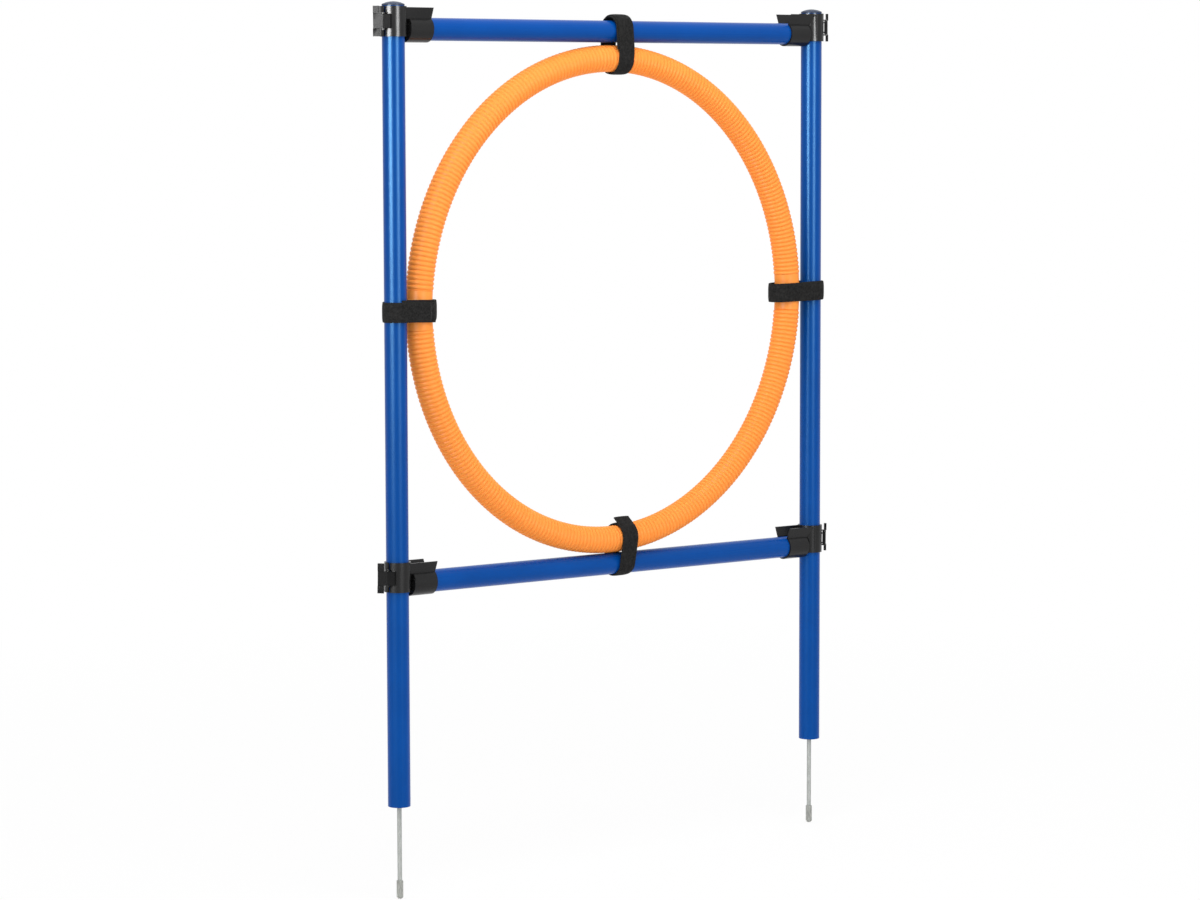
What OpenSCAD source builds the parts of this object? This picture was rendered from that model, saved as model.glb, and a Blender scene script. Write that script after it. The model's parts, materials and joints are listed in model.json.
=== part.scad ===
// Ring jump for dog agility: a corrugated hoop strapped inside a frame of two
// staked posts and two crossbars. Millimetres, +Z up, -Y is the front.
// The origin is on the ground line, midway between the posts.

/* [Hoop] */
// Diameter of the hoop along the middle of the hose
hoop_d = 652; // [500:1:800]
// Shift of the hoop towards the left post
hoop_shift = 4; // [0:0.1:5]
// Diameter of the hose over its ribs
hose_d = 36.4; // [30:0.2:44]
// Depth of the groove between two ribs
rib_depth = 1.8; // [0.8:0.1:2.4]
// Thickness of the hose wall under the grooves
hose_wall = 1.2; // [0.8:0.1:2]
// Number of ribs on each half of the hoop
ribs = 100; // [30:2:100]
// Gap between the end of a half and its coupler
hose_end_gap = 0.4; // [0.2:0.1:1]
// Length of the smooth band of a coupler, along the hoop
coupler_len = 51; // [30:0.5:80]
// Step from the ribs down to the smooth band of a coupler
coupler_step = 0.8; // [0.2:0.1:1.6]
// Length of a coupler's spigot inside each hose end
spigot_len = 22; // [12:0.5:40]
// Wall of a coupler's spigots
spigot_wall = 2; // [1:0.1:3]

/* [Tubes] */
// Outside diameter of posts and crossbars
tube_d = 29.5; // [25:0.5:36]
// Wall of posts and crossbars
tube_wall = 1.6; // [1:0.1:3]
// Height of the lower crossbar's middle above the ground
lower_bar_h = 286.5; // [200:0.5:500]
// Tilt of the lower crossbar in degrees, its left end up
lower_bar_tilt = 0.9; // [0:0.1:0.9]
// Length of post above the upper collars
post_head = 0.6; // [0.2:0.1:40]

/* [Caps and feet] */
// Height of a post cap's rim
cap_rim = 2; // [1:0.1:6]
// Height of a post cap's dome
cap_dome = 3.5; // [1:0.1:10]
// Depth of a post cap's stem inside the tube
cap_stem = 18; // [8:1:40]
// Wall of the hollow stems of caps and bar plugs
stem_wall = 2; // [1:0.1:3]
// Length of the plug that holds a spike in the foot of a post
foot_plug_len = 45; // [25:1:90]
// Thickness of the flange of a bar plug
bar_plug_flange = 1.2; // [0.8:0.1:3]
// Depth of a bar plug's stem inside the bar
bar_plug_stem = 16; // [8:1:40]

/* [Spikes] */
// Diameter of a spike
spike_d = 6; // [4:0.1:9]
// Length of a spike below the foot of the post
spike_out = 121; // [70:1:200]
// Diameter of a spike's head inside its plug
spike_head_d = 8; // [7:0.1:12]
// Length of the thinner neck under a spike's head
spike_neck = 1; // [0.5:0.1:3]
// Step from a spike's rod down to its neck and to its end under the soft cap
spike_step = 0.3; // [0.1:0.05:0.6]
// Length of a spike's point
spike_point = 9; // [4:0.5:20]
// Wall of the soft cap on a spike's end
tip_cap_wall = 1.65; // [0.8:0.05:3]
// Length of the soft cap on a spike's end
tip_cap_len = 24; // [15:0.5:40]
// Thickness of the soft cap's closed end
tip_cap_end = 2; // [1:0.1:4]

/* [Clips] */
// Height of the collar round the post
collar_h = 38.8; // [30:0.2:60]
// Wall of the collar
collar_wall = 2.1; // [1.6:0.1:4]
// Height of the collar's middle above the bar's middle
collar_rise = 9.5; // [4:0.1:12]
// Width of the slit that parts the collar's two jaws
slit_w = 2.4; // [1:0.1:4]
// Wall of the cradle under the bar
cradle_wall = 2.3; // [1.6:0.1:4]
// Length of the cradle along the bar
cradle_len = 35.5; // [20:0.5:60]
// Thickness of the stop wall at the bar's end
stop_wall = 1.8; // [1.2:0.1:4]
// Height of the stop wall above the bar's middle
stop_rise = 6; // [2:0.5:9]
// Width of the cradle's mouth at its neck
mouth_w = 17.2; // [13:0.2:20]
// Width across the tips of the flared lips
lip_spread = 32.6; // [26:0.2:40]
// Thickness of the lips
lip_wall = 2.2; // [1.4:0.1:3]
// Drop of the lip tips below the top of the collar
lip_drop = 1.5; // [0.4:0.1:4]

/* [Latches] */
// Gap between the collar and the lever's tip
latch_stand = 2.9; // [2:0.1:5]
// Thickness of the lever
latch_wall = 2.4; // [1.6:0.1:3]
// Height of the lever between its ears
latch_h = 18.4; // [12:0.2:22]
// Length of the lever from its tip to its pivot
tip_arm = 9.5; // [9.4:0.1:14]
// Length of the lever from its pivot to the end of its grip
grip_arm = 12.8; // [12:0.1:15]
// Width of the grip's upright plate
grip_w = 8; // [3:0.1:8]
// Height of the thumb pads at the grip's two ends
pad_h = 9.4; // [5:0.1:10]
// Thickness that the thumb pads stand out
pad_t = 1; // [0.5:0.1:2]
// Width of the hook at the lever's tip
hook_w = 1.6; // [1.2:0.1:3]
// Depth of the hook at the lever's tip
hook_depth = 1; // [0.6:0.1:1.4]
// Length of the two ribs that the hook catches
catch_len = 4; // [2:0.1:5]
// Diameter of the hinge pin
pin_d = 2.2; // [1.4:0.1:3]
// Wall round the hinge pin
boss_wall = 1.4; // [1:0.05:2]
// Thickness of the ears and of the catch ribs
ear_t = 1.6; // [1.2:0.1:2.4]

/* [Straps] */
// Width of the straps
strap_w = 26; // [15:0.5:40]
// Thickness of one layer of strap
strap_t = 1.7; // [1:0.1:3]
// Angle that the overlapped strap end reaches round the hose
strap_overlap = 60; // [20:1:120]
// Slack of the top strap above the upper crossbar
top_strap_slack = 4.5; // [0:0.1:8]
// Slack of the left strap inside the hoop
left_strap_slack = 3; // [0:0.1:8]
// Slack of the right strap inside the hoop
right_strap_slack = 7.5; // [0:0.1:10]
// Slack of the top and bottom straps beyond the hose
bar_strap_slack = 0.8; // [0.5:0.1:4]
// Place of the top strap, to the right of the middle
top_strap_x = 7; // [0:0.1:12]
// Place of the bottom strap, to the right of the middle
bottom_strap_x = 12.8; // [0:0.1:13]

/* [Clearances] */
// Collar round the post
post_clear = 0.5; // [0.4:0.05:0.8]
// Cradle round the bar
bar_clear = 0.15; // [0.1:0.05:0.4]
// Plugs and stems inside a tube
plug_clear = 0.1; // [0.05:0.05:0.3]
// Spike in its plug and in its soft cap
spike_clear = 0.05; // [0.03:0.01:0.1]
// Hinge pin in the ears and in the lever
pin_clear = 0.06; // [0.03:0.01:0.1]
// Lever beside its ears and above the catch ribs
latch_clear = 0.4; // [0.3:0.05:0.6]
// Hook beside its catch, so that it swings free
hook_clear = 0.7; // [0.5:0.05:1]
// Coupler's spigot inside the hose
spigot_clear = 0.4; // [0.2:0.05:0.8]
// Straps round tubes and hose
strap_clear = 0.5; // [0.3:0.05:1]
// Bar's end to its stop wall
bar_end_clear = 0.3; // [0.1:0.05:1]
// Hoop above the lower crossbar
hoop_seat_gap = 0.6; // [0.3:0.1:2]
// Hoop below the upper crossbar
hoop_top_gap = 3; // [0.5:0.1:8]
// Hoop beside each post
hoop_side_gap = 9; // [1:0.1:20]

/* [Hidden] */
$fn = 96;
LEFT = -1;
RIGHT = 1;
UPPER = 1;
LOWER = -1;
BLUE = [0.00, 0.30, 0.64];
DARK_BLUE = [0.16, 0.19, 0.25];
BLACK = [0.10, 0.10, 0.11];
WEBBING = [0.13, 0.13, 0.13];
ORANGE = [1.00, 0.55, 0.18];
ZINC = [0.72, 0.73, 0.72];
CLEAR = [0.86, 0.86, 0.83];
// Overshoot of a cut past the face that it opens
cut = 1;
// Flats along each arc of a strap
arc_steps = 16;

tube_r = tube_d / 2;
tube_bore_r = tube_r - tube_wall;
hose_r = hose_d / 2;
hoop_r = hoop_d / 2;
hose_bore_r = hose_r - rib_depth - hose_wall;
coupler_r = hose_r - coupler_step;
thin_r = spike_d / 2 - spike_step;
post_x = hoop_r + hose_r + hoop_side_gap + tube_r;
hoop_x = -hoop_shift;
hoop_z = lower_bar_h + tube_r + hoop_seat_gap + hose_r + hoop_r;
upper_bar_h = hoop_z + hoop_r + hose_r + hoop_top_gap + tube_r;
post_h = upper_bar_h + collar_rise + collar_h / 2 + post_head;
function bar_h(level) = level == UPPER ? upper_bar_h : lower_bar_h;
function bar_tilt(level) = level == UPPER ? 0 : lower_bar_tilt;

// Clip, in its own frame: post along Z, bar along +X at height 0, latch at -X
collar_bore_r = tube_r + post_clear;
collar_r = collar_bore_r + collar_wall;
collar_bottom = collar_rise - collar_h / 2;
collar_top = collar_rise + collar_h / 2;
cradle_bore_r = tube_r + bar_clear;
cradle_r = cradle_bore_r + cradle_wall;
cradle_x = collar_r;
bar_end_x = cradle_x + stop_wall / 2 + bar_end_clear;
neck_z = sqrt(pow(cradle_bore_r + cradle_wall / 2, 2) - pow(mouth_w / 2, 2));
lip_tip_z = collar_top - lip_drop;
lip_tip_y = lip_spread / 2 - lip_wall;

// Latch lever seen from above: a bearing is an angle from the front, turning to
// the outside; the lever bends at its pivot, from its flat tip to its grip
tip_bearing = 46;
flat_bearing = 43;
grip_bearing = 50;
slit_bearing = 76;
ear_bearings = [88, 116];
function outward(bearing) = [-sin(bearing), -cos(bearing)];
function along(bearing) = [-cos(bearing), sin(bearing)];
latch_tip = (collar_r + latch_stand + latch_wall / 2) * outward(tip_bearing);
latch_bend = latch_tip + tip_arm * along(flat_bearing);
latch_end = latch_bend + grip_arm * along(grip_bearing);
boss_r = pin_d / 2 + pin_clear + boss_wall;
// The boss is flush with the lever's outside at the bend
pivot = latch_bend - (boss_r - latch_wall / 2) * outward(tip_bearing);
ear_z = latch_h / 2 + latch_clear;
// Point of the lever's flat: u from the tip to the bend, v out of its middle
function on_flat(u, v) = latch_tip + u * along(flat_bearing) + v * outward(flat_bearing);

// Places a piece of a post on the left or right post
module at_post(side, z = 0) {
    translate([side * post_x, 0, z]) children();
}

// Places a piece of a crossbar, which tilts about the point midway between its collars
module at_bar(level) {
    translate([0, 0, bar_h(level) + collar_rise]) rotate([0, bar_tilt(level), 0])
        translate([0, 0, -collar_rise]) children();
}

// Places a piece of a clip, whose bar side turns to the middle of the frame
module at_clip(side, level) {
    at_bar(level) translate([side * post_x / cos(bar_tilt(level)), 0, 0])
        mirror([side == RIGHT ? 1 : 0, 0, 0]) children();
}

// Turns a flat outline, drawn as Y and Z, into a solid that runs along +X
module along_x(length) {
    rotate([90, 0, 90]) linear_extrude(length) children();
}

module tube(length) {
    difference() {
        cylinder(r = tube_r, h = length);
        translate([0, 0, -cut]) cylinder(r = tube_bore_r, h = length + 2 * cut);
    }
}

module post(side) {
    color(BLUE) at_post(side) tube(post_h);
}

// Hollow stem that fits inside a tube, open at its lower end
module stem(length) {
    stem_r = tube_bore_r - plug_clear;
    difference() {
        cylinder(r = stem_r, h = length);
        translate([0, 0, -cut]) cylinder(r = stem_r - stem_wall, h = length);
    }
}

module top_cap(side) {
    dome_r = (tube_r * tube_r + cap_dome * cap_dome) / (2 * cap_dome);
    color(DARK_BLUE) at_post(side, post_h) union() {
        translate([0, 0, -cap_stem]) stem(cap_stem + cut);
        cylinder(r = tube_r, h = cap_rim);
        intersection() {
            cylinder(r = tube_r, h = cap_rim + cap_dome);
            translate([0, 0, cap_rim + cap_dome - dome_r]) sphere(r = dome_r);
        }
    }
}

module foot_plug(side) {
    color(BLUE) at_post(side) difference() {
        cylinder(r = tube_bore_r - plug_clear, h = foot_plug_len);
        translate([0, 0, -cut]) cylinder(r = spike_head_d / 2 + spike_clear, h = foot_plug_len + 2 * cut);
    }
}

// Pointed rod under the post: its thicker head sits in the plug, and its thinner end in the soft cap
module ground_spike(side) {
    rod_from = tip_cap_len - tip_cap_end + spike_neck;
    color(ZINC) at_post(side, -spike_out) union() {
        cylinder(r1 = thin_r / 6, r2 = thin_r, h = spike_point);
        translate([0, 0, spike_point]) cylinder(r = thin_r, h = spike_out - spike_point + cut);
        translate([0, 0, rod_from]) cylinder(r = spike_d / 2, h = spike_out - spike_neck - rod_from);
        translate([0, 0, spike_out]) cylinder(r = spike_head_d / 2, h = foot_plug_len);
    }
}

// Soft push-on cap over the point of a spike, with a rounded-off closed end
module tip_cap(side) {
    inner_r = thin_r + spike_clear;
    outer_r = inner_r + tip_cap_wall;
    color(CLEAR) at_post(side, -spike_out - tip_cap_end) difference() {
        rotate_extrude() polygon([
            [0, 0], [outer_r - tip_cap_end, 0], [outer_r, tip_cap_end],
            [outer_r, tip_cap_len], [0, tip_cap_len]
        ]);
        translate([0, 0, tip_cap_end - spike_clear]) cylinder(r = inner_r, h = tip_cap_len);
    }
}

module crossbar(level) {
    half = post_x / cos(bar_tilt(level)) - bar_end_x - bar_plug_flange;
    color(BLUE) at_bar(level) translate([-half, 0, 0]) rotate([0, 90, 0]) tube(2 * half);
}

module bar_plug(side, level) {
    color(BLACK) at_clip(side, level) translate([bar_end_x, 0, 0]) rotate([0, -90, 0]) union() {
        translate([0, 0, -bar_plug_flange]) cylinder(r = tube_r, h = bar_plug_flange);
        translate([0, 0, -bar_plug_flange - bar_plug_stem]) stem(bar_plug_stem + bar_plug_flange / 2);
    }
}

// Flared lip above one side of the cradle's mouth, in Y and Z
module lip_outline(side) {
    polygon([
        [side * mouth_w / 2, neck_z], [side * lip_tip_y, lip_tip_z],
        [side * (lip_tip_y + lip_wall), lip_tip_z], [side * (mouth_w / 2 + lip_wall), neck_z - lip_wall / 2]
    ]);
}

// Trough that holds the bar, with its mouth upward, in Y and Z
module cradle_outline() {
    difference() {
        circle(r = cradle_r);
        circle(r = cradle_bore_r);
        polygon([
            [0, 0], [mouth_w / 2, neck_z], [mouth_w / 2, cradle_r + cut],
            [-mouth_w / 2, cradle_r + cut], [-mouth_w / 2, neck_z]
        ]);
    }
    lip_outline(LEFT);
    lip_outline(RIGHT);
}

// Wall that stops the bar's end and joins the trough to the collar, in Y and Z
module stop_outline() {
    intersection() {
        circle(r = cradle_r);
        translate([-cradle_r, -cradle_r]) square([2 * cradle_r, cradle_r + stop_rise]);
    }
}

// Ear on the collar's back jaw that carries the lever's pin
module ear_outline() {
    root = [for (bearing = ear_bearings) (collar_r - collar_wall / 2) * outward(bearing)];
    reach = pivot - (root[0] + root[1]) / 2;
    side = boss_r * [reach.y, -reach.x] / norm(reach);
    difference() {
        union() {
            polygon([root[0], pivot - side, pivot + side, root[1]]);
            translate(pivot) circle(r = boss_r);
        }
        translate(pivot) circle(r = pin_d / 2 + pin_clear);
    }
}

// Rib on the collar's front jaw that the lever's hook catches
module catch_outline() {
    near = hook_w + hook_clear;
    top = -latch_wall / 2 - latch_clear;
    root = -latch_wall / 2 - latch_stand - collar_wall / 2;
    polygon([
        on_flat(near, top), on_flat(near + catch_len, top),
        on_flat(near + catch_len, root - collar_wall / 2), on_flat(near, root)
    ]);
}

module clip(side, level) {
    color(BLACK) at_clip(side, level) difference() {
        union() {
            translate([0, 0, collar_bottom]) cylinder(r = collar_r, h = collar_h);
            translate([cradle_x, 0, 0]) along_x(cradle_len) cradle_outline();
            translate([cradle_x - stop_wall / 2, 0, 0]) along_x(stop_wall) stop_outline();
            for (lip = [LEFT, RIGHT]) along_x(cradle_x + cut) lip_outline(lip);
            for (z = [ear_z, -ear_z - ear_t])
                translate([0, 0, collar_rise + z]) linear_extrude(ear_t) ear_outline();
            for (z = [latch_h / 2 - 2 * ear_t, ear_t - latch_h / 2])
                translate([0, 0, collar_rise + z]) linear_extrude(ear_t) catch_outline();
        }
        translate([0, 0, collar_bottom - cradle_r]) cylinder(r = collar_bore_r, h = collar_h + 2 * cradle_r);
        rotate([0, 0, -90 - slit_bearing]) translate([0, -slit_w / 2, collar_bottom - cut])
            cube([collar_r + cut, slit_w, collar_h + 2 * cut]);
    }
}

// Lever seen from above: hooked flat, bend with its boss, and grip arm
module lever_outline() {
    flat = outward(flat_bearing);
    grip = outward(grip_bearing);
    half = latch_wall / 2;
    bend = half * (flat + grip) / (1 + flat * grip);
    polygon([
        on_flat(0, half), latch_bend + bend, latch_end + half * grip,
        latch_end - half * grip, latch_bend - bend, on_flat(hook_w, -half),
        on_flat(hook_w, -half - hook_depth), on_flat(0, -half - hook_depth)
    ]);
    translate(pivot) circle(r = boss_r);
}

// Upright plate at the end of the grip arm, seen from above, grown outward by t
module grip_outline(t) {
    grip = outward(grip_bearing);
    start = latch_end - grip_w * along(grip_bearing);
    half = latch_wall / 2;
    polygon([
        start + (half + t) * grip, latch_end + (half + t) * grip,
        latch_end - half * grip, start - half * grip
    ]);
}

module latch(side, level) {
    color(BLACK) at_clip(side, level) difference() {
        union() {
            translate([0, 0, collar_rise - latch_h / 2]) linear_extrude(latch_h) lever_outline();
            translate([0, 0, collar_bottom]) linear_extrude(collar_h) grip_outline(0);
            for (z = [collar_bottom, collar_top - pad_h])
                translate([0, 0, z]) linear_extrude(pad_h) grip_outline(pad_t);
        }
        translate([pivot.x, pivot.y, collar_bottom]) cylinder(r = pin_d / 2 + pin_clear, h = collar_h);
    }
}

module latch_pin(side, level) {
    height = 2 * (ear_z + ear_t);
    color(ZINC) at_clip(side, level) translate([pivot.x, pivot.y, collar_rise - height / 2])
        cylinder(r = pin_d / 2, h = height);
}

// Point of the hose wall: turn round the hoop from its rightmost point, r from
// the hose's middle, side counts the eight corners of the hose
function hose_point(turn, r, side) =
    let (out = hoop_r + r * cos(45 * side))
    [hoop_x + out * cos(turn), r * sin(45 * side), hoop_z + out * sin(turn)];

// Skin of a tube of eight-sided rings, as pairs of triangles
function skin(first, rings, flip) = [
    for (i = [0 : rings - 2], s = [0 : 7])
        let (a = first + 8 * i + s, b = first + 8 * i + (s + 1) % 8)
        each flip ? [[a, a + 8, b], [b, a + 8, b + 8]] : [[a, b, a + 8], [b, b + 8, a + 8]]
];

// Ring-shaped end between outer ring a and bore ring b
function end_face(a, b, flip) = [
    for (s = [0 : 7])
        let (t = (s + 1) % 8)
        each flip ? [[a + s, b + s, a + t], [a + t, b + s, b + t]]
            : [[a + s, a + t, b + s], [a + t, b + t, b + s]]
];

// Half of the hoop in ribbed hose, between the two couplers; way is 1 for the upper half
module half_hose(way) {
    start = (coupler_len / 2 + hose_end_gap) / hoop_r * 180 / PI;
    span = 180 - 2 * start;
    outer_rings = 2 * ribs + 1;
    bore_rings = ribs / 2 + 1;
    first_turn = way > 0 ? start : 180 + start;
    groove_r = hose_r - rib_depth;
    points = [
        for (i = [0 : outer_rings - 1], s = [0 : 7])
            hose_point(first_turn + span * i / (outer_rings - 1), i % 2 == 0 ? groove_r : hose_r, s),
        for (i = [0 : bore_rings - 1], s = [0 : 7])
            hose_point(first_turn + span * i / (bore_rings - 1), hose_bore_r, s)
    ];
    bore_first = 8 * outer_rings;
    faces = concat(
        skin(0, outer_rings, false), skin(bore_first, bore_rings, true),
        end_face(0, bore_first, true),
        end_face(8 * (outer_rings - 1), bore_first + 8 * (bore_rings - 1), false)
    );
    color(ORANGE) polyhedron(points = points, faces = faces, convexity = 10);
}

// Solid rod that follows the bend of the hoop, its middle at the hoop's rightmost point
module bent_rod(r, length) {
    turn = length / hoop_r * 180 / PI;
    rotate([90, 0, 0]) rotate([0, 0, -turn / 2])
        rotate_extrude(angle = turn) translate([hoop_r, 0]) circle(r = r);
}

// Hollow coupler: a smooth band between the halves, and a spigot inside each of them
module coupler(side) {
    spigot_r = hose_bore_r * cos(22.5) - spigot_clear;
    whole = coupler_len + 2 * spigot_len;
    color(ORANGE) translate([hoop_x, 0, hoop_z]) rotate([0, side == LEFT ? 180 : 0, 0]) difference() {
        union() {
            bent_rod(coupler_r, coupler_len);
            bent_rod(spigot_r, whole);
        }
        bent_rod(spigot_r - spigot_wall, whole + 2 * cut);
    }
}

// Arc of a strap round a middle at [x, 0], from one angle to another
function strap_arc(x, r, from, to) = [
    for (i = [0 : arc_steps])
        let (turn = from + (to - from) * i / arc_steps)
        [x + r * cos(turn), r * sin(turn)]
];

// Closed strap loop round a tube at the origin and a hose of radius held_r at
// [reach, 0], seen from its edge, with the overlapped end on its front; the loop
// stands off by its slack behind the tube and beyond the hose
module strap_outline(reach, held_r, tube_slack = 0, hose_slack = 0) {
    tube_side = tube_r + strap_clear;
    hose_side = held_r + strap_clear;
    far = reach + hose_slack;
    turn = acos((tube_r - held_r) / (far + tube_slack));
    overlap_end = strap_overlap - turn;
    difference() {
        polygon(concat(
            strap_arc(-tube_slack, tube_side + strap_t, turn, 360 - turn),
            strap_arc(far, hose_side + 2 * strap_t, -turn, overlap_end),
            strap_arc(far, hose_side + strap_t, overlap_end, turn)
        ));
        polygon(concat(
            strap_arc(-tube_slack, tube_side, turn, 360 - turn),
            strap_arc(far, hose_side, -turn, turn)
        ));
    }
}

// Strap round a crossbar and the hose, which hangs below the upper bar and stands on the lower one
module bar_strap(level) {
    x = level == UPPER ? top_strap_x : bottom_strap_x;
    bend = hoop_r - sqrt(hoop_r * hoop_r - (x - hoop_x) * (x - hoop_x));
    drop = x * tan(bar_tilt(level));
    reach = tube_r + hose_r + (level == UPPER ? hoop_top_gap : hoop_seat_gap) + bend + drop;
    slack = level == UPPER ? top_strap_slack : 0;
    color(WEBBING) translate([x - strap_w / 2, 0, bar_h(level) - drop]) along_x(strap_w)
        rotate([0, 0, -90 * level]) mirror([0, level == UPPER ? 0 : 1])
            strap_outline(reach, hose_r, tube_slack = slack, hose_slack = bar_strap_slack);
}

// Strap round a post and the coupler beside it
module post_strap(side) {
    reach = tube_r + hose_r + hoop_side_gap - side * hoop_x;
    slack = side == LEFT ? left_strap_slack : right_strap_slack;
    color(WEBBING) at_post(side, hoop_z - strap_w / 2) linear_extrude(strap_w)
        mirror([side == RIGHT ? 1 : 0, 0]) strap_outline(reach, coupler_r, hose_slack = slack);
}

post(LEFT);  // left_post
post(RIGHT);  // right_post
top_cap(LEFT);  // left_top_cap
top_cap(RIGHT);  // right_top_cap
foot_plug(LEFT);  // left_foot_plug
foot_plug(RIGHT);  // right_foot_plug
ground_spike(LEFT);  // left_ground_spike
ground_spike(RIGHT);  // right_ground_spike
tip_cap(LEFT);  // left_tip_cap
tip_cap(RIGHT);  // right_tip_cap
crossbar(UPPER);  // upper_bar
crossbar(LOWER);  // lower_bar
bar_plug(LEFT, UPPER);  // upper_bar_left_plug
bar_plug(RIGHT, UPPER);  // upper_bar_right_plug
bar_plug(LEFT, LOWER);  // lower_bar_left_plug
bar_plug(RIGHT, LOWER);  // lower_bar_right_plug
clip(LEFT, UPPER);  // upper_left_clip
clip(RIGHT, UPPER);  // upper_right_clip
clip(LEFT, LOWER);  // lower_left_clip
clip(RIGHT, LOWER);  // lower_right_clip
latch(LEFT, UPPER);  // upper_left_latch
latch(RIGHT, UPPER);  // upper_right_latch
latch(LEFT, LOWER);  // lower_left_latch
latch(RIGHT, LOWER);  // lower_right_latch
latch_pin(LEFT, UPPER);  // upper_left_latch_pin
latch_pin(RIGHT, UPPER);  // upper_right_latch_pin
latch_pin(LEFT, LOWER);  // lower_left_latch_pin
latch_pin(RIGHT, LOWER);  // lower_right_latch_pin
half_hose(1);  // upper_hose
half_hose(-1);  // lower_hose
coupler(LEFT);  // left_coupler
coupler(RIGHT);  // right_coupler
bar_strap(UPPER);  // top_strap
bar_strap(LOWER);  // bottom_strap
post_strap(LEFT);  // left_strap
post_strap(RIGHT);  // right_strap
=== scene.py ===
"""Looks of the ring jump: finishes, ribbed hose, tape straps, softened mouldings, studio and camera."""
import json
import logging
import math
from dataclasses import dataclass, field
from enum import Enum
from typing import ClassVar

import bmesh
import bpy
from mathutils import Matrix, Vector


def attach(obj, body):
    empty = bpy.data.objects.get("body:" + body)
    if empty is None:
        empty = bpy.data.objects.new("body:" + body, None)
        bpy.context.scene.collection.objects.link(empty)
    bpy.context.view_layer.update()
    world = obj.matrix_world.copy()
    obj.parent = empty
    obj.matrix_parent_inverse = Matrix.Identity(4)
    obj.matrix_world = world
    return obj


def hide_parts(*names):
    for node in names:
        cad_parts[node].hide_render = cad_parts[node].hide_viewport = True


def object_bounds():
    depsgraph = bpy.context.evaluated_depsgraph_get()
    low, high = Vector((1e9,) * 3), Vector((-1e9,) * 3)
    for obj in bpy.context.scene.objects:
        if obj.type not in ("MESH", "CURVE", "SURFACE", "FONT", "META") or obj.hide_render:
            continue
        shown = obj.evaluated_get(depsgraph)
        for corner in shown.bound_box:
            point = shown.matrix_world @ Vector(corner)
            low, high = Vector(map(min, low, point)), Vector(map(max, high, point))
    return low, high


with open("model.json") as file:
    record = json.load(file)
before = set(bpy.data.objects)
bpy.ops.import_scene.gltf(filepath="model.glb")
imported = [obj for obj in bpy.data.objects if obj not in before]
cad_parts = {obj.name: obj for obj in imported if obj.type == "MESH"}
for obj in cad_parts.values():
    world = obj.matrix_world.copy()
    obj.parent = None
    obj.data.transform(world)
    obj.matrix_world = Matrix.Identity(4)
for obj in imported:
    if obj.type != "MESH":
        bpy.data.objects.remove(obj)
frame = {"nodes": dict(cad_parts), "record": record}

CAD_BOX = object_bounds()
RECORD = frame["record"]
BODY_OF = {node: body for body, nodes in RECORD["behaviour"]["bodies"].items() for node in nodes}
SLOT_OF = {part["node"]: part["material_slot"] for part in RECORD["subparts"]}
log = logging.getLogger("ring_jump")

Colour = tuple[float, float, float]
Place = tuple[float, float, float]
Socket = bpy.types.NodeSocket


def box_of(node: str) -> tuple[Vector, Vector]:
    """Lowest and highest corner of a node of the frame."""
    corners = sorted(tuple(corner) for corner in frame["nodes"][node].bound_box)
    return Vector(corners[0]), Vector(corners[-1])


def middle_of(node: str) -> Vector:
    """Middle of a node of the frame."""
    low, high = box_of(node)
    return (low + high) / 2


def size_of(node: str) -> Vector:
    """Size of a node of the frame along each axis."""
    low, high = box_of(node)
    return high - low


# Places and sizes that the hoop and its straps take from the frame, in metres
HOOP_X = middle_of("upper_hose").x
HOOP_Z = (middle_of("upper_hose").z + middle_of("lower_hose").z) / 2
HOSE_R = size_of("upper_hose").y / 2
TUBE_R = size_of("right_post").x / 2
POST_X = middle_of("right_post").x
UPPER_BAR_Z = middle_of("upper_bar").z
TAPE_WIDTH = size_of("top_strap").x

# Places and sizes that the boxes of the nodes don't give exactly, and the floor's distance below them
HOOP_R = 0.326
COUPLER_R = 0.0174
LOWER_BAR_Z = 0.2865
LOWER_BAR_TILT = math.radians(0.9)
FLOOR_GAP = 0.0004

SIDEWAYS = Vector((1.0, 0.0, 0.0))
UPWARDS = Vector((0.0, 0.0, 1.0))

# Values between which most of a noise texture lies, and coordinates that aren't stretched
NOISE_LOW = 0.3
NOISE_HIGH = 0.7
UNSTRETCHED = (1.0, 1.0, 1.0)


class Way(Enum):
    """Way that a strap is wound, by where its outer end points on the front."""

    OVER_HOSE = 1
    OVER_TUBE = -1


class Grain(Enum):
    """Direction of the drawn or extruded streaks in a finish, as a noise scale for each axis."""

    UPRIGHT = (900.0, 900.0, 1.2)
    LEVEL = (1.2, 900.0, 900.0)
    EVEN = (1400.0, 1400.0, 1400.0)


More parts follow.
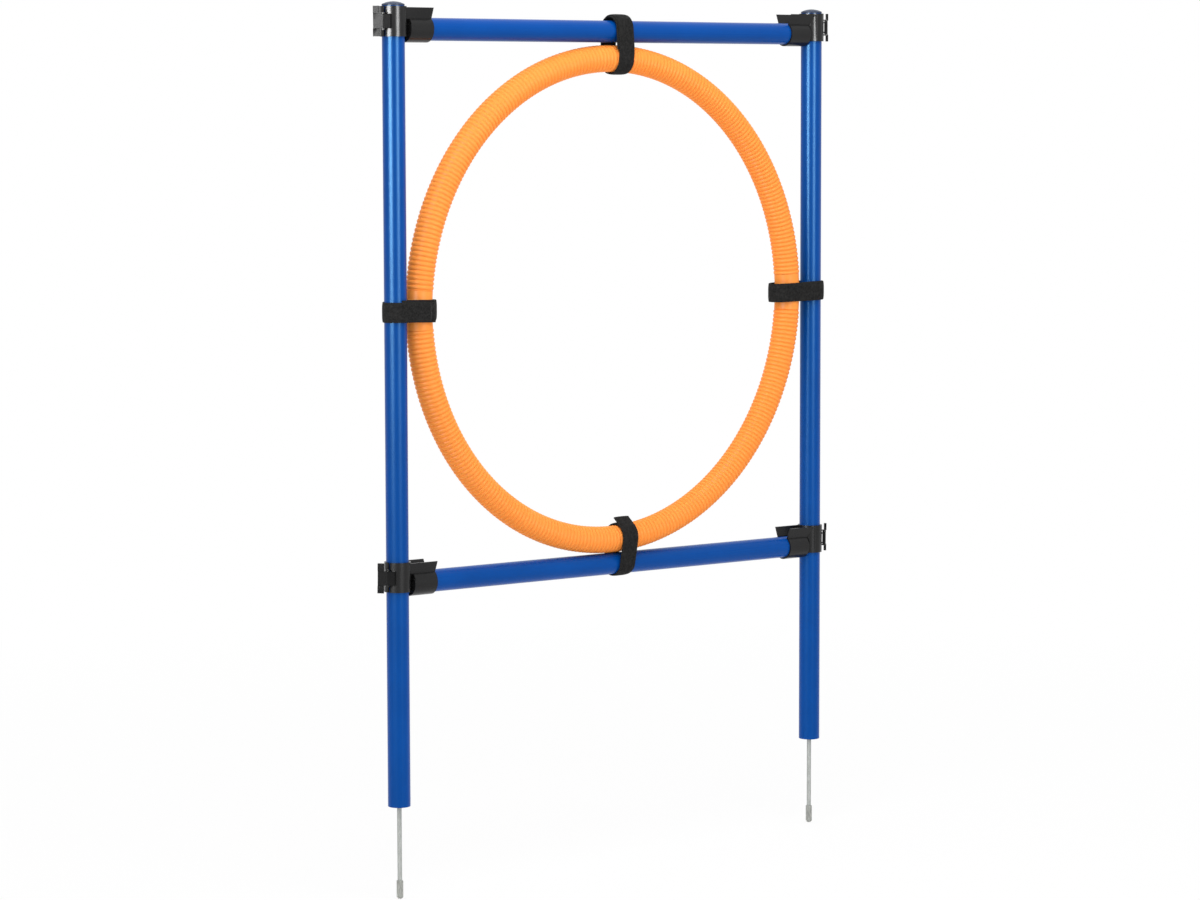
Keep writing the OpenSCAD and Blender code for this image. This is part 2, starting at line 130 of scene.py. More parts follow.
class Graph:
    """Nodes of one material or world, with the few calls that every finish here needs."""

    def __init__(self, owner: bpy.types.Material | bpy.types.World) -> None:
        """Starts the nodes of a new material or world.

        Args:
            owner: The material or world.
        """
        owner.use_nodes = True
        self.owner = owner
        self.tree = owner.node_tree
        self.shader = self.tree.nodes.get("Principled BSDF") or self.tree.nodes["Background"]

    def add(self, kind: str, inputs: dict | None = None, **settings: object) -> bpy.types.Node:
        """Adds a node.

        Args:
            kind: Blender's name of the node.
            inputs: Values by socket name or number.
            settings: The node's own settings.

        Returns:
            The new node.
        """
        node = self.tree.nodes.new(kind)
        for name, value in settings.items():
            setattr(node, name, value)
        for name, value in (inputs or {}).items():
            node.inputs[name].default_value = value
        return node

    def link(self, start: Socket, end: Socket) -> None:
        """Joins an output to an input."""
        self.tree.links.new(start, end)

    def set(self, **values: object) -> None:
        """Sets shader sockets, whose names are written with underscores."""
        for name, value in values.items():
            self.shader.inputs[name.replace("_", " ")].default_value = value

    def place(self, scale: Place, source: str = "Object") -> Socket:
        """Coordinates of the surface, stretched.

        Args:
            scale: Stretch along each axis.
            source: Object for metres in the frame, UV for metres along a tape.

        Returns:
            The stretched coordinates.
        """
        where = self.add("ShaderNodeTexCoord")
        stretch = self.add("ShaderNodeMapping", {"Scale": scale})
        self.link(where.outputs[source], stretch.inputs["Vector"])
        return stretch.outputs["Vector"]

    def noise(self, where: Socket, scale: float, detail: float = 3.0) -> Socket:
        """Cloudy noise from 0 to 1.

        Args:
            where: Coordinates.
            scale: Clouds per unit of the coordinates.
            detail: Finer layers of the noise.

        Returns:
            The noise value.
        """
        cloud = self.add("ShaderNodeTexNoise", {"Scale": scale, "Detail": detail})
        self.link(where, cloud.inputs["Vector"])
        return cloud.outputs["Fac"]

    def between(self, value: Socket, low: float, high: float,
                start: float = NOISE_LOW, end: float = NOISE_HIGH) -> Socket:
        """Maps a value between start and end to a number between low and high.

        Args:
            value: Value that is mapped.
            low: Result at start.
            high: Result at end.
            start: Lower end of the value.
            end: Upper end of the value.

        Returns:
            The mapped value.
        """
        limits = {"From Min": start, "From Max": end, "To Min": low, "To Max": high}
        spread = self.add("ShaderNodeMapRange", limits)
        self.link(value, spread.inputs["Value"])
        return spread.outputs["Result"]

    def tint(self, value: Socket, dark: Colour, light: Colour,
             start: float = NOISE_LOW, end: float = NOISE_HIGH) -> Socket:
        """Mixes two colours by a value.

        Args:
            value: Value that picks between the colours.
            dark: Colour at start.
            light: Colour at end.
            start: Value that gives the dark colour.
            end: Value that gives the light colour.

        Returns:
            The mixed colour.
        """
        ramp = self.add("ShaderNodeValToRGB")
        ramp.color_ramp.elements[0].position = start
        ramp.color_ramp.elements[0].color = (*dark, 1.0)
        ramp.color_ramp.elements[1].position = end
        ramp.color_ramp.elements[1].color = (*light, 1.0)
        self.link(value, ramp.inputs["Fac"])
        return ramp.outputs["Color"]

    def combine(self, operation: str, first: Socket, second: Socket | float) -> Socket:
        """Works out one value from two.

        Args:
            operation: Blender's name of the operation.
            first: First value.
            second: Second value, or a number.

        Returns:
            The result.
        """
        maths = self.add("ShaderNodeMath", operation=operation)
        self.link(first, maths.inputs[0])
        if isinstance(second, float):
            maths.inputs[1].default_value = second
        else:
            self.link(second, maths.inputs[1])
        return maths.outputs["Value"]

    def bump(self, height: Socket, strength: float, depth: float) -> None:
        """Lets a value stand out of the surface.

        Args:
            height: Value of the height.
            strength: Share of the effect.
            depth: Height in metres.
        """
        relief = self.add("ShaderNodeBump", {"Strength": strength, "Distance": depth})
        self.link(height, relief.inputs["Height"])
        self.link(relief.outputs["Normal"], self.shader.inputs["Normal"])


@dataclass(frozen=True)
class Moulded:
    """Moulded or extruded plastic: two close shades, a gloss that varies, and a fine grain."""

    name: str
    dark: Colour
    light: Colour
    smooth: float
    rough: float
    grain: Grain = Grain.EVEN
    relief: float = 0.00004
    relief_share: float = 0.25
    specular: float = 0.12
    gloss: Colour = (1.0, 1.0, 1.0)
    patches: float = 14.0

    def colour(self, graph: Graph) -> Socket:
        """Colour of the plastic, in large faint patches."""
        return graph.tint(graph.noise(graph.place(UNSTRETCHED), self.patches), self.dark, self.light)

    def material(self) -> bpy.types.Material:
        """Makes the material.

        Returns:
            The new material.
        """
        graph = Graph(bpy.data.materials.new(self.name))
        graph.set(Specular_IOR_Level=self.specular, Specular_Tint=(*self.gloss, 1.0))
        graph.link(self.colour(graph), graph.shader.inputs["Base Color"])
        streaks = graph.noise(graph.place(self.grain.value), 1.0)
        graph.link(graph.between(streaks, self.smooth, self.rough), graph.shader.inputs["Roughness"])
        graph.bump(streaks, self.relief_share, self.relief)
        return graph.owner


@dataclass(frozen=True)
class Ribbed(Moulded):
    """Plastic of a ribbed hose, with painted shade: a deeper colour in its grooves."""

    # Painted shade: a deeper colour that stands for the shade in the hose's grooves
    painted_groove_shade: Colour = (1.0, 0.29, 0.044)

    def colour(self, graph: Graph) -> Socket:
        """Colour of the plastic, with painted shade in its grooves, by the height of the rib that the mesh
        keeps as an attribute.

        Args:
            graph: Nodes of the material.

        Returns:
            The colour.
        """
        lift = graph.add("ShaderNodeAttribute", attribute_name=RibbedHose.LIFT)
        # Painted shade: the darker colour is mixed in where the rib is low, in its grooves
        mix = graph.add("ShaderNodeMix", {"A": (*self.painted_groove_shade, 1.0)}, data_type="RGBA")
        graph.link(lift.outputs["Fac"], mix.inputs["Factor"])
        graph.link(super().colour(graph), mix.inputs["B"])
        return mix.outputs["Result"]


@dataclass(frozen=True)
class Zinc:
    """Dull zinc-plated rod: drawn streaks and faint spangles, darker in their middles."""

    name: str
    dark: Colour
    light: Colour
    metal: float = 0.12
    specular: float = 0.05
    smooth: float = 0.42
    rough: float = 0.56
    relief: float = 0.00004
    relief_share: float = 0.2
    spangles: float = 260.0
    spangle_stretch: Place = (1.0, 1.0, 0.4)
    spangle_middle: float = 0.1
    spangle_rim: float = 0.8

    def material(self) -> bpy.types.Material:
        """Makes the material.

        Returns:
            The new material.
        """
        graph = Graph(bpy.data.materials.new(self.name))
        graph.set(Metallic=self.metal, Specular_IOR_Level=self.specular)
        spangle = graph.add("ShaderNodeTexVoronoi", {"Scale": self.spangles})
        graph.link(graph.place(self.spangle_stretch), spangle.inputs["Vector"])
        colour = graph.tint(spangle.outputs["Distance"], self.dark, self.light,
                            self.spangle_middle, self.spangle_rim)
        graph.link(colour, graph.shader.inputs["Base Color"])
        streaks = graph.noise(graph.place(Grain.UPRIGHT.value), 1.0)
        graph.link(graph.between(streaks, self.smooth, self.rough), graph.shader.inputs["Roughness"])
        graph.bump(streaks, self.relief_share, self.relief)
        return graph.owner


@dataclass(frozen=True)
class Vinyl:
    """Milky soft vinyl that lets some light through."""

    name: str
    dark: Colour
    light: Colour
    clearness: float = 0.45
    refraction: float = 1.45
    specular: float = 0.08
    smooth: float = 0.28
    rough: float = 0.42
    relief: float = 0.0001
    relief_share: float = 0.2
    clouds: float = 160.0

    def material(self) -> bpy.types.Material:
        """Makes the material.

        Returns:
            The new material.
        """
        graph = Graph(bpy.data.materials.new(self.name))
        graph.set(Transmission_Weight=self.clearness, IOR=self.refraction, Specular_IOR_Level=self.specular)
        haze = graph.noise(graph.place(UNSTRETCHED), self.clouds)
        graph.link(graph.tint(haze, self.dark, self.light), graph.shader.inputs["Base Color"])
        graph.link(graph.between(haze, self.smooth, self.rough), graph.shader.inputs["Roughness"])
        graph.bump(haze, self.relief_share, self.relief)
        return graph.owner


@dataclass(frozen=True)
class Tape:
    """Hook-and-loop tape: a matted pile between two woven edges, on metres along and across it."""

    name: str
    dark: Colour
    light: Colour
    edge: Colour
    half_width: float = TAPE_WIDTH / 2
    selvedge: float = 0.0016
    selvedge_blur: float = 0.0003
    roughness: float = 0.9
    sheen: float = 0.03
    sheen_roughness: float = 0.45
    specular: float = 0.1
    relief: float = 0.0005
    relief_share: float = 0.7
    fibres: float = 1100.0
    fibre_layers: float = 4.0
    loops: float = 430.0
    clumps: float = 170.0
    pile_share: float = 0.9
    clump_share: float = 0.5
    pile_low: float = 0.25
    pile_high: float = 0.75
    weave: float = 260.0
    weave_wobble: float = 0.6
    weave_low: float = 0.2
    weave_high: float = 0.8

    def material(self) -> bpy.types.Material:
        """Makes the material.

        Returns:
            The new material.
        """
        graph = Graph(bpy.data.materials.new(self.name))
        graph.set(Roughness=self.roughness, Sheen_Weight=self.sheen, Sheen_Roughness=self.sheen_roughness,
                  Specular_IOR_Level=self.specular)
        flat = graph.place(UNSTRETCHED, "UV")
        fibres = graph.noise(flat, self.fibres, self.fibre_layers)
        loops = graph.add("ShaderNodeTexVoronoi", {"Scale": self.loops})
        graph.link(flat, loops.inputs["Vector"])
        pile = graph.combine("MULTIPLY", fibres, loops.outputs["Distance"])
        clumps = graph.noise(flat, self.clumps)
        weave = graph.add("ShaderNodeTexWave", {"Scale": self.weave, "Distortion": self.weave_wobble},
                          bands_direction="DIAGONAL")
        graph.link(flat, weave.inputs["Vector"])
        across = graph.add("ShaderNodeSeparateXYZ")
        graph.link(flat, across.inputs["Vector"])
        from_middle = graph.combine("ABSOLUTE", across.outputs["Y"], 0.0)
        limit = self.half_width - self.selvedge
        at_edge = graph.between(from_middle, 0.0, 1.0, limit - self.selvedge_blur, limit + self.selvedge_blur)
        matted = graph.combine("ADD", graph.combine("MULTIPLY", pile, self.pile_share),
                               graph.combine("MULTIPLY", clumps, self.clump_share))
        body = graph.tint(matted, self.dark, self.light, self.pile_low, self.pile_high)
        rim = graph.tint(weave.outputs["Fac"], self.dark, self.edge, self.weave_low, self.weave_high)
        colour = graph.add("ShaderNodeMix", data_type="RGBA")
        graph.link(at_edge, colour.inputs["Factor"])
        graph.link(body, colour.inputs["A"])
        graph.link(rim, colour.inputs["B"])
        graph.link(colour.outputs["Result"], graph.shader.inputs["Base Color"])
        height = graph.add("ShaderNodeMix")
        graph.link(at_edge, height.inputs["Factor"])
        graph.link(pile, height.inputs["A"])
        graph.link(weave.outputs["Fac"], height.inputs["B"])
        graph.bump(height.outputs["Result"], self.relief_share, self.relief)
        return graph.owner


class Finishes:
    """Every finish of the jump, made once and shared by the pieces."""

    def __init__(self) -> None:
        """Makes the materials, one for each slot of the record, and the thread of the stitches."""
        blue = {"dark": (0.0, 0.052, 0.275), "light": (0.0, 0.06, 0.31), "smooth": 0.27, "rough": 0.31,
                "relief": 0.0000015, "specular": 0.2, "gloss": (0.3, 0.7, 1.0)}
        black = {"dark": (0.007, 0.007, 0.0073), "light": (0.012, 0.012, 0.0123)}
        orange = {"dark": (1.0, 0.31, 0.052), "light": (1.0, 0.335, 0.062), "smooth": 0.34, "rough": 0.48,
                  "specular": 0.075}
        steel = {"dark": (0.33, 0.345, 0.33), "light": (0.41, 0.425, 0.41)}
        makers = {
            "post_tube": Moulded("blue_post_tube", grain=Grain.UPRIGHT, **blue),
            "bar_tube": Moulded("blue_bar_tube", grain=Grain.LEVEL, **blue),
            "post_cap": Moulded("grey_blue_cap", dark=(0.03, 0.042, 0.075), light=(0.042, 0.056, 0.095),
                                smooth=0.3, rough=0.42),
            "foot_plug": Moulded("foot_plug_plastic", dark=(0.004, 0.03, 0.13), light=(0.006, 0.04, 0.16),
                                 smooth=0.4, rough=0.55),
            "spike_steel": Zinc("zinc_rod", **steel),
            "tip_cap": Vinyl("milky_vinyl", dark=(0.44, 0.45, 0.42), light=(0.53, 0.54, 0.51)),
            "bar_plug": Moulded("bar_plug_plastic", dark=(0.012, 0.012, 0.013), light=(0.02, 0.02, 0.02),
                                smooth=0.45, rough=0.6),
            "clip_plastic": Moulded("black_clip", smooth=0.22, rough=0.3, specular=0.2, **black),
            "latch_plastic": Moulded("black_latch", smooth=0.24, rough=0.36, relief=0.00008, specular=0.05,
                                     **black),
            "pin_steel": Zinc("pin_rod", **steel),
            "hose_plastic": Ribbed("orange_hose", **orange),
            "coupler_plastic": Moulded("orange_coupler", **orange),
            "strap_webbing": Tape("black_tape", dark=(0.001, 0.001, 0.001), light=(0.019, 0.0185, 0.018),
                                  edge=(0.02, 0.02, 0.019)),
        }
        thread = Moulded("black_thread", dark=(0.03, 0.03, 0.03), light=(0.07, 0.07, 0.07),
                         smooth=0.6, rough=0.8)
        self.by_slot = {slot: maker.material() for slot, maker in makers.items()}
        self.thread = thread.material()


def new_piece(name: str, bm: bmesh.types.BMesh, material: bpy.types.Material,
              node: str, covers: bool = True) -> bpy.types.Object:
    """Turns a finished bmesh into a piece that rides with a node of the frame.

    Args:
        name: Name of the piece.
        bm: Shape, in its place, which is freed here.
        material: Its finish.
        node: Node whose body it takes.
        covers: Whether the piece stands for that node.

    Returns:
        The new object.
    """
    mesh = bpy.data.meshes.new(name)
    bm.to_mesh(mesh)
    bm.free()
    mesh.materials.append(material)
    piece = bpy.data.objects.new(name, mesh)
    bpy.context.scene.collection.objects.link(piece)
    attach(piece, BODY_OF[node])
    if covers:
        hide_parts(node)
    log.info("%s: %d faces, rides on %s", name, len(mesh.polygons), BODY_OF[node])
    return piece


def shade(piece: bpy.types.Object, angle: float = 180.0) -> None:
    """Shades a piece smooth, apart from its sharp edges.

    Args:
        piece: The piece.
        angle: Angle in degrees past which an edge stays sharp.
    """
    piece.data.shade_smooth()
    if angle < 180.0:
        piece.data.set_sharp_from_angle(angle=math.radians(angle))


@dataclass
class Hardware:
    """Rigid nodes of the frame: some keep their own mesh, the mouldings get rounded edges."""

    finishes: Finishes
    edge: float = 0.0005
    latch_edge: float = 0.0004
    edge_steps: int = 3
    sharp_angle: float = 32.0
    flat_angle: float = 0.5
    smooth_angle: float = 50.0
    merge: float = 0.000002

    def dress(self, node: str) -> None:
        """Gives a node that stays its finish.

        Args:
            node: Name of the node.
        """
        piece = frame["nodes"][node]
        material = self.finishes.by_slot[SLOT_OF[node]]
        for place in piece.material_slots:
            place.material = material
        log.info("%s: dressed in %s", node, material.name)

    def soften(self, node: str, edge: float) -> None:
        """Replaces a node by a copy whose edges are rounded, as a moulding's are.

        Args:
            node: Node that the copy is made of.
            edge: Width of the rounding.
        """
        bm = bmesh.new()
        bm.from_mesh(frame["nodes"][node].data)
        bmesh.ops.remove_doubles(bm, verts=bm.verts, dist=self.merge)
        flat = math.radians(self.flat_angle)
        bmesh.ops.dissolve_limit(bm, angle_limit=flat, verts=bm.verts, edges=bm.edges)
        limit = math.radians(self.sharp_angle)
        corners = [e for e in bm.edges if len(e.link_faces) == 2 and e.calc_face_angle(0.0) > limit]
        bmesh.ops.bevel(bm, geom=corners, offset=edge, offset_type="OFFSET", affect="EDGES",
                        segments=self.edge_steps, profile=0.5, clamp_overlap=True, material=-1)
        piece = new_piece(node + "_moulding", bm, self.finishes.by_slot[SLOT_OF[node]], node)
        shade(piece, self.smooth_angle)
        piece.modifiers.new("flat faces", "WEIGHTED_NORMAL").keep_sharp = True

    def build(self) -> None:
        """Dresses or softens every rigid node."""
        soft = {"hose_plastic", "strap_webbing"}
        rounded = {"clip_plastic": self.edge, "latch_plastic": self.latch_edge, "post_cap": self.edge,
                   "tip_cap": self.edge, "coupler_plastic": self.edge}
        for node, slot in SLOT_OF.items():
            if slot in rounded:
                self.soften(node, rounded[slot])
            elif slot not in soft:
                self.dress(node)


@dataclass
class RibbedHose:
    """Two half hoops of corrugated hose, with as many ribs as the photograph shows."""

    LIFT: ClassVar[str] = "lift"
    finishes: Finishes
    hose_r: float = HOSE_R
    rib_depth: float = 0.0013
    bore_r: float = 0.0152
    coupler_len: float = 0.051
    end_gap: float = 0.0001
    ribs: int = 163
    sides: int = 32
    bore_steps: int = 80
    smooth_angle: float = 60.0
    merge: float = 0.00002
    # Place along one rib, and height there as a share of the rib's depth
    profile: tuple[tuple[float, float], ...] = (
        (0.0, 0.55), (0.09, 0.83), (0.32, 1.0), (0.55, 0.83),
        (0.7, 0.32), (0.82, 0.0), (0.94, 0.32), (1.0, 0.55))

    def ring(self, bm: bmesh.types.BMesh, turn: float, radius: float,
             lift: float) -> list[bmesh.types.BMEdge]:
        """Draws one ring of the hose.

        Args:
            bm: Mesh that it is drawn in.
            turn: Angle round the hoop, from its rightmost point.
            radius: Radius of the ring.
            lift: Height of the rib there, from 0 at its lowest to 1.

        Returns:
            The ring's edges.
        """
        place = (Matrix.Translation((HOOP_X, 0.0, HOOP_Z)) @ Matrix.Rotation(-turn, 4, "Y")
                 @ Matrix.Translation((HOOP_R, 0.0, 0.0)))
        circle = bmesh.ops.create_circle(bm, segments=self.sides, radius=radius, matrix=place)
        kept = bm.verts.layers.float[self.LIFT]
        for vert in circle["verts"]:
            vert[kept] = lift
        return list({edge for vert in circle["verts"] for edge in vert.link_edges})

    def half(self, node: str, first: float) -> None:
        """Builds one half hoop: one rib, spun round the hoop, and a bore that is bridged to its ends.

        Args:
            node: Node that it replaces.
            first: Angle where the half starts.
        """
        trim = (self.coupler_len / 2 + self.end_gap) / HOOP_R
        start = first + trim
        span = math.pi - 2 * trim
        step = span / self.ribs
        bm = bmesh.new()
        bm.verts.layers.float.new(self.LIFT)
        rings = [self.ring(bm, start + step * along, self.hose_r - self.rib_depth * (1.0 - lift), lift)
                 for along, lift in self.profile]
        for near, far in zip(rings, rings[1:]):
            bmesh.ops.bridge_loops(bm, edges=near + far)
        rib = bm.verts[:] + bm.edges[:] + bm.faces[:]
        about = {"cent": (HOOP_X, 0.0, HOOP_Z), "axis": (0.0, -1.0, 0.0)}
        bmesh.ops.spin(bm, geom=rib, angle=step * (self.ribs - 1), steps=self.ribs - 1,
                       use_duplicate=True, **about)
        bmesh.ops.remove_doubles(bm, verts=bm.verts, dist=self.merge)
        ends = [edge for edge in bm.edges if edge.is_boundary]
        bore = self.ring(bm, start, self.bore_r, 0.0)
        bmesh.ops.spin(bm, geom=bore, angle=span, steps=self.bore_steps, **about)
        bore_ends = [edge for edge in bm.edges if edge.is_boundary and edge not in ends]
        for turn in (start, start + span):
            middle = Vector((HOOP_X + HOOP_R * math.cos(turn), 0.0, HOOP_Z + HOOP_R * math.sin(turn)))
            rim = [e for e in ends + bore_ends if (e.verts[0].co - middle).length < 2 * self.hose_r]
            bmesh.ops.bridge_loops(bm, edges=rim)
        bmesh.ops.recalc_face_normals(bm, faces=bm.faces)
        piece = new_piece(node + "_ribs", bm, self.finishes.by_slot["hose_plastic"], node)
        shade(piece, self.smooth_angle)

    def build(self) -> None:
        """Builds both halves."""
        self.half("upper_hose", 0.0)
        self.half("lower_hose", math.pi)


@dataclass(frozen=True)
class Loop:
    """Closed line of a strap round a tube at (near, 0) and a hose at (far, 0), seen from its edge."""

    tube_r: float
    hose_r: float
    near: float
    far: float

    @property
    def turn(self) -> float:
        """Angle at which the straight sides leave the two arcs."""
        return math.acos((self.tube_r - self.hose_r) / (self.far - self.near))

    @property
    def lengths(self) -> tuple[float, float, float, float]:
        """Lengths of the front side, the hose's arc, the back side and the tube's arc."""
        side = (self.far - self.near) * math.sin(self.turn)
        return (side, 2 * self.turn * self.hose_r, side, (2 * math.pi - 2 * self.turn) * self.tube_r)

    def at(self, length: float) -> tuple[Vector, Vector]:
        """Finds a place on the line.

        Args:
            length: Length along the line, from where its front side leaves the tube.

        Returns:
            The place, and the direction that points out of the loop.
        """
        front, hose, back, tube = self.lengths
        left = length % (front + hose + back + tube)
        turn = self.turn
        if left < front:
            out = Vector((math.cos(turn), -math.sin(turn)))
            start = Vector((self.near, 0.0)) + self.tube_r * out
            end = Vector((self.far, 0.0)) + self.hose_r * out
            return start.lerp(end, left / front), out
        left -= front
        if left < hose:
            angle = left / self.hose_r - turn
            out = Vector((math.cos(angle), math.sin(angle)))
            return Vector((self.far, 0.0)) + self.hose_r * out, out
        left -= hose
        if left < back:
            out = Vector((math.cos(turn), math.sin(turn)))
            start = Vector((self.far, 0.0)) + self.hose_r * out
            end = Vector((self.near, 0.0)) + self.tube_r * out
            return start.lerp(end, left / back), out
        angle = turn + (left - back) / self.tube_r
        out = Vector((math.cos(angle), math.sin(angle)))
        return Vector((self.near, 0.0)) + self.tube_r * out, out


@dataclass(frozen=True)
class Seam:
    """Rows of stitches across the outer end of a strap."""

    rows: tuple[float, ...] = (0.0025, 0.0085)
    each_side: int = 5
    pitch: float = 0.0021
    stand: float = 0.00005
    stitch: Place = (0.0009, 0.0003, 0.00022)
    stitch_sides: int = 8
    stitch_rings: int = 6


@dataclass
class Strap:
    """Strap of hook-and-loop tape, wound once round a tube and the hoop, with its end lapped over."""

    finishes: Finishes
    node: str
    tube: Vector
    reach: Vector
    across: Vector
    way: Way
    held_r: float = HOSE_R
    tube_r: float = TUBE_R
    tube_slack: float = 0.0
    hose_slack: float = 0.0
    start: float = 0.0
    lap: float = 0.06
    tail: float = 0.0
    skew: float = 0.003
    tilt: float = 0.0
    seam: Seam | None = None
    width: float = TAPE_WIDTH
    thick: float = 0.0016
    layer: float = 0.0017
    clear: float = 0.0005
    ramp: float = 0.014
    crown: float = 0.0008
    crown_middle: float = 0.6
    crown_power: int = 4
    wave: float = 0.0003
    wave_turns: float = 70.0
    rim: float = 0.0004
    rim_steps: int = 2
    steps_along: int = 180
    steps_across: int = 10
    smooth_angle: float = 60.0
    loop: Loop = field(init=False)
    once_round: float = field(init=False)
    length: float = field(init=False)

    def __post_init__(self) -> None:
        """Works out the loop and the tape's length."""
        gap = self.clear + self.layer / 2
        far = self.reach.length + self.hose_slack
        self.loop = Loop(self.tube_r + gap, self.held_r + gap, -self.tube_slack, far)
        self.once_round = sum(self.loop.lengths)
        self.length = self.once_round + self.lap + self.tail

    def flat(self, run: float) -> tuple[Vector, Vector]:
        """Place on the wound tape's middle line, seen from its edge.

        Args:
            run: Length along the tape.

        Returns:
            The place, and the direction that points out of the loop.
        """
        held = min(run, self.once_round + self.lap)
        where, out = self.loop.at(self.start + self.way.value * held)
        rise = min(max((held - self.once_round + self.ramp) / self.ramp, 0.0), 1.0)
        where = where + out * self.layer * rise * rise * (3.0 - 2.0 * rise)
        if run > held:
            onward = Vector((-out.y, out.x)) * self.way.value
            where = where + onward * (run - held)
        return where, out

    def spot(self, run: float, side: float, lift: float = 0.0) -> Vector:
        """Place on the strap in the frame.

        Args:
            run: Length along the tape.
            side: Distance from the tape's middle.
            lift: Height above the tape's middle.

        Returns:
            The place.
        """
        where, out = self.flat(run)
        curl = self.crown * (self.crown_middle - (2.0 * side / self.width) ** self.crown_power)
        where = where + out * (lift + curl)
        lean = self.tilt * where.x / self.loop.far
        sway = self.skew * (0.5 - run / self.length) + self.wave * math.sin(run * self.wave_turns) - lean
        return (self.tube + self.reach.normalized() * where.x + Vector((0.0, where.y, 0.0))
                + self.across * (side + sway))

    def build(self) -> None:
        """Builds the tape and, where it has them, its stitches."""
        bm = bmesh.new()
        flat = bm.loops.layers.uv.new("tape")
        bmesh.ops.create_grid(bm, x_segments=self.steps_along, y_segments=self.steps_across, size=0.5)
        for face in bm.faces:
            for corner in face.loops:
                x, y, _ = corner.vert.co
                corner[flat].uv = ((x + 0.5) * self.length, y * self.width)
        for vert in bm.verts:
            x, y, _ = vert.co
            vert.co = self.spot((x + 0.5) * self.length, y * self.width)
        piece = new_piece(self.node + "_tape", bm, self.finishes.by_slot["strap_webbing"], self.node)
        shade(piece, self.smooth_angle)
        wall = piece.modifiers.new("tape thickness", "SOLIDIFY")
        wall.thickness = self.thick
        wall.offset = 0.0
        rim = piece.modifiers.new("soft rim", "BEVEL")
        rim.width = self.rim
        rim.segments = self.rim_steps
        rim.limit_method = "ANGLE"
        if self.seam:
            self.sew(self.seam)

    def sew(self, seam: Seam) -> None:
        """Sews rows of stitches across the lapped end.

        Args:
            seam: The rows and their stitches.
        """
        bm = bmesh.new()
        grow = Matrix.Diagonal((*seam.stitch, 1.0))
        for row in seam.rows:
            run = self.length - row
            out = (self.spot(run, 0.0, self.thick) - self.spot(run, 0.0)).normalized()
            turn = Matrix((self.across, out.cross(self.across), out)).transposed().to_4x4()
            for stitch in range(-seam.each_side, seam.each_side + 1):
                middle = self.spot(run, stitch * seam.pitch, self.thick / 2 + seam.stand)
                bmesh.ops.create_uvsphere(bm, u_segments=seam.stitch_sides, v_segments=seam.stitch_rings,
                                          radius=1.0, matrix=Matrix.Translation(middle) @ turn @ grow)
        bmesh.ops.recalc_face_normals(bm, faces=bm.faces)
        shade(new_piece(self.node + "_stitches", bm, self.finishes.thread, self.node, covers=False))


@dataclass
class HoopStraps:
    """The four straps that hold the hoop to the bars and the posts."""

    finishes: Finishes
    top_x: float = 0.007
    bottom_x: float = 0.0098

    def on_bars(self) -> list[Strap]:
        """Plans the straps round the upper and the lower bar.

        Returns:
            The two straps, not yet built.
        """
        upper = Vector((self.top_x, 0.0, UPPER_BAR_Z))
        lower = Vector((self.bottom_x, 0.0, LOWER_BAR_Z - self.bottom_x * math.tan(LOWER_BAR_TILT)))
        hoop_top = HOOP_Z + math.sqrt(HOOP_R ** 2 - (self.top_x - HOOP_X) ** 2)
        hoop_bottom = HOOP_Z - math.sqrt(HOOP_R ** 2 - (self.bottom_x - HOOP_X) ** 2)
        down = UPWARDS * (hoop_top - upper.z)
        up = UPWARDS * (hoop_bottom - lower.z)
        return [
            Strap(self.finishes, "top_strap", upper, down, SIDEWAYS, Way.OVER_TUBE, HOSE_R,
                  tube_slack=0.0045, hose_slack=0.0008, start=0.03, lap=0.065, skew=-0.0032),
            Strap(self.finishes, "bottom_strap", lower, up, SIDEWAYS, Way.OVER_HOSE, HOSE_R,
                  hose_slack=0.0008, lap=0.055, tail=0.018, skew=0.001, tilt=-0.003),
        ]

    def on_posts(self) -> list[Strap]:
        """Plans the straps round the left and the right post.

        Returns:
            The two straps, not yet built.
        """
        left = Vector((-POST_X, 0.0, HOOP_Z))
        right = Vector((POST_X, 0.0, HOOP_Z))
        from_left = SIDEWAYS * (HOOP_X - HOOP_R + POST_X)
        from_right = SIDEWAYS * (HOOP_X + HOOP_R - POST_X)
        return [
            Strap(self.finishes, "left_strap", left, from_left, UPWARDS, Way.OVER_HOSE, COUPLER_R,
                  hose_slack=0.004, lap=0.051, skew=0.0036, seam=Seam()),
            Strap(self.finishes, "right_strap", right, from_right, UPWARDS, Way.OVER_TUBE, COUPLER_R,
                  hose_slack=0.009, start=0.035, lap=0.07, skew=0.0006, tilt=0.001, seam=Seam()),
        ]

    def build(self) -> None:
        """Builds all four."""
        for strap in self.on_bars() + self.on_posts():
            strap.build()


@dataclass(frozen=True)
class Softbox:
    """Soft rectangular lamp, which lights surfaces or only shows in glossy ones."""

    name: str
    at: Place
    towards: Place
    size: tuple[float, float]
    power: float
    lights: bool = True

    def hang(self) -> None:
        """Hangs the lamp where the camera doesn't see it."""
        lamp = bpy.data.lights.new(self.name, "AREA")
        lamp.shape = "RECTANGLE"
        lamp.size, lamp.size_y = self.size
        lamp.energy = self.power
        light = bpy.data.objects.new(self.name, lamp)
        aim = (Vector(self.towards) - Vector(self.at)).to_track_quat("-Z", "Y")
        light.matrix_world = Matrix.Translation(self.at) @ aim.to_matrix().to_4x4()
        light.visible_camera = False
        light.visible_diffuse = self.lights
        bpy.context.scene.collection.objects.link(light)


